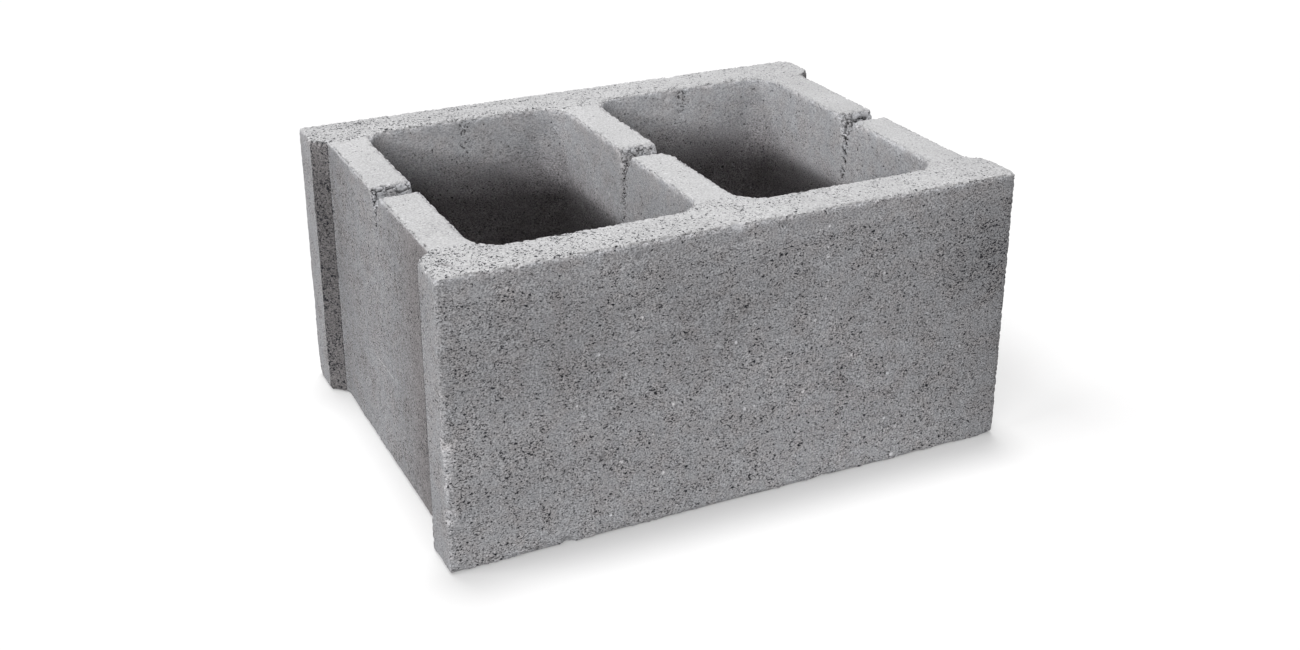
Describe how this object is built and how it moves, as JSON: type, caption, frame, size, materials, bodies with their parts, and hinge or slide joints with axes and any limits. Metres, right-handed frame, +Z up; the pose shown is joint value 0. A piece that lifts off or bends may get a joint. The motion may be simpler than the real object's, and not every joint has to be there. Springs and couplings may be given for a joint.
{
  "type": "hollow concrete block",
  "caption": "Hollow concrete masonry block with open tapered cores, eared mortar pockets in its ends and core-bar slots across its webs, for laying in a wall.",
  "frame": {"origin": "middle of the underside", "axes": "+X along the block's length, +Y through its width, from the front face shell to the back one, +Z up, out of the wide ends of the cores"},
  "size_m": [0.39, 0.29, 0.19],
  "materials": {
    "concrete": "matt grey pressed concrete, open-pored, sharp cast edges"
  },
  "bodies": {
    "root": {"concrete_block": "concrete"}
  },
  "joints": []
}
